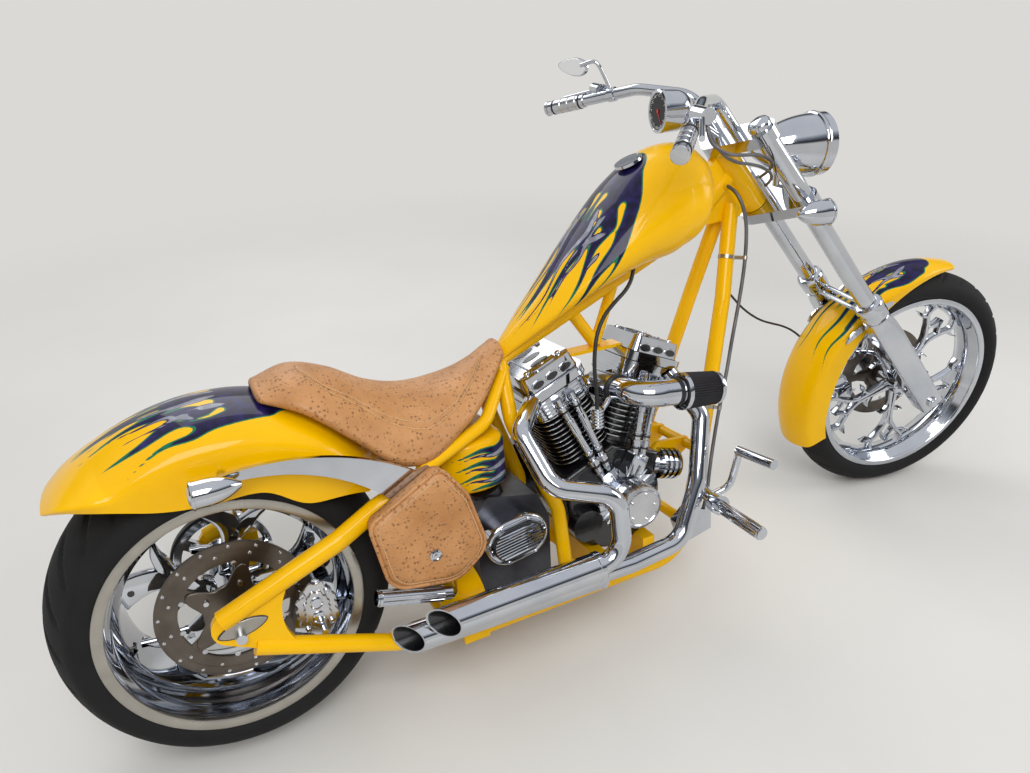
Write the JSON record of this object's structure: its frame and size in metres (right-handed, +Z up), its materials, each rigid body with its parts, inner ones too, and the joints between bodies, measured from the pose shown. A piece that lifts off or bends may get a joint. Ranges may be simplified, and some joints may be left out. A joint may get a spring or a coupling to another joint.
{
  "type": "chopper motorcycle",
  "caption": "Long low custom chopper with a raked fork, air-cooled V-twin, wide rear tyre, yellow frame and flame-painted bodywork, leaning on its side stand.",
  "frame": {"origin": "on the floor, under the middle of the footprint of the parked motorcycle", "axes": "+X forward, +Y to the rider's left, +Z up; the motorcycle leans to +Y on its side stand"},
  "size_m": [2.6441, 0.9887, 1.2653],
  "materials": {
    "yellow_paint": "gloss",
    "black_paint": "gloss",
    "chrome": "polished",
    "steel": "satin",
    "aluminium": "polished",
    "tyre": "matte",
    "rubber": "matte",
    "ostrich_leather": "satin",
    "braided_hose": "satin",
    "filter": "matte"
  },
  "bodies": {
    "chassis": {"rear_axle": "chrome", "swingarm": "yellow_paint", "rear_caliper": "chrome", "rear_fender": "yellow_paint", "fender_struts": "chrome", "rear_signals": "chrome", "frame_spine": "yellow_paint", "frame_cradle": "yellow_paint", "fuel_tank": "yellow_paint", "fuel_cap": "chrome", "oil_tank": "yellow_paint", "seat": "ostrich_leather", "saddle_bag": "ostrich_leather", "crankcase": "black_paint", "cylinders": "black_paint", "cylinder_heads": "chrome", "cam_cover": "chrome", "pushrods": "chrome", "intake": "chrome", "air_filter": "filter", "rear_exhaust": "chrome", "front_exhaust": "chrome", "gearbox": "aluminium", "gearbox_cover": "chrome", "primary_cover": "chrome", "drive_belt": "rubber", "oil_filter": "chrome", "breather": "chrome", "fuel_hose": "rubber", "frame_hose": "braided_hose", "foot_controls": "chrome", "passenger_pegs": "chrome", "stand_bracket": "steel"},
    "rear_wheel": {"rear_wheel": "chrome", "rear_tyre": "tyre", "rear_rotor": "steel", "rear_pulley": "chrome"},
    "front_end": {"triple_clamps": "chrome", "fork_tubes": "chrome", "fork_sliders": "chrome", "front_axle": "chrome", "front_caliper": "chrome", "front_fender": "yellow_paint", "headlamp": "chrome", "front_signals": "chrome", "handlebar": "chrome", "grips": "chrome", "hand_levers": "chrome", "gauge": "chrome", "mirror": "chrome", "fork_brace": "chrome", "bar_cables": "braided_hose", "brake_hose": "rubber"},
    "front_wheel": {"front_wheel": "chrome", "front_tyre": "tyre", "front_rotor": "steel"},
    "side_stand": {"side_stand": "chrome"}
  },
  "joints": [
    {"name": "rear_wheel_spin", "type": "hinge", "parent": "chassis", "child": "rear_wheel", "pos_m": [-0.993, -0.09297, 0.32689], "axis": [0, 0.9848, -0.1736], "continuous": true},
    {"name": "steering", "type": "hinge", "parent": "chassis", "child": "front_end", "pos_m": [0.40817, 0.01257, 0.92541], "axis": [-0.6428, 0.133, 0.7544], "range_deg": [-16.5, 43.5]},
    {"name": "front_wheel_spin", "type": "hinge", "parent": "front_end", "child": "front_wheel", "pos_m": [0.97673, -0.10313, 0.34994], "axis": [0.1788, 0.9837, -0.0211], "continuous": true},
    {"name": "side_stand_swing", "type": "hinge", "parent": "chassis", "child": "side_stand", "pos_m": [-0.251, 0.04065, 0.07689], "axis": [0.0455, 0.4253, 0.9039], "range_deg": [0, 111]}
  ]
}
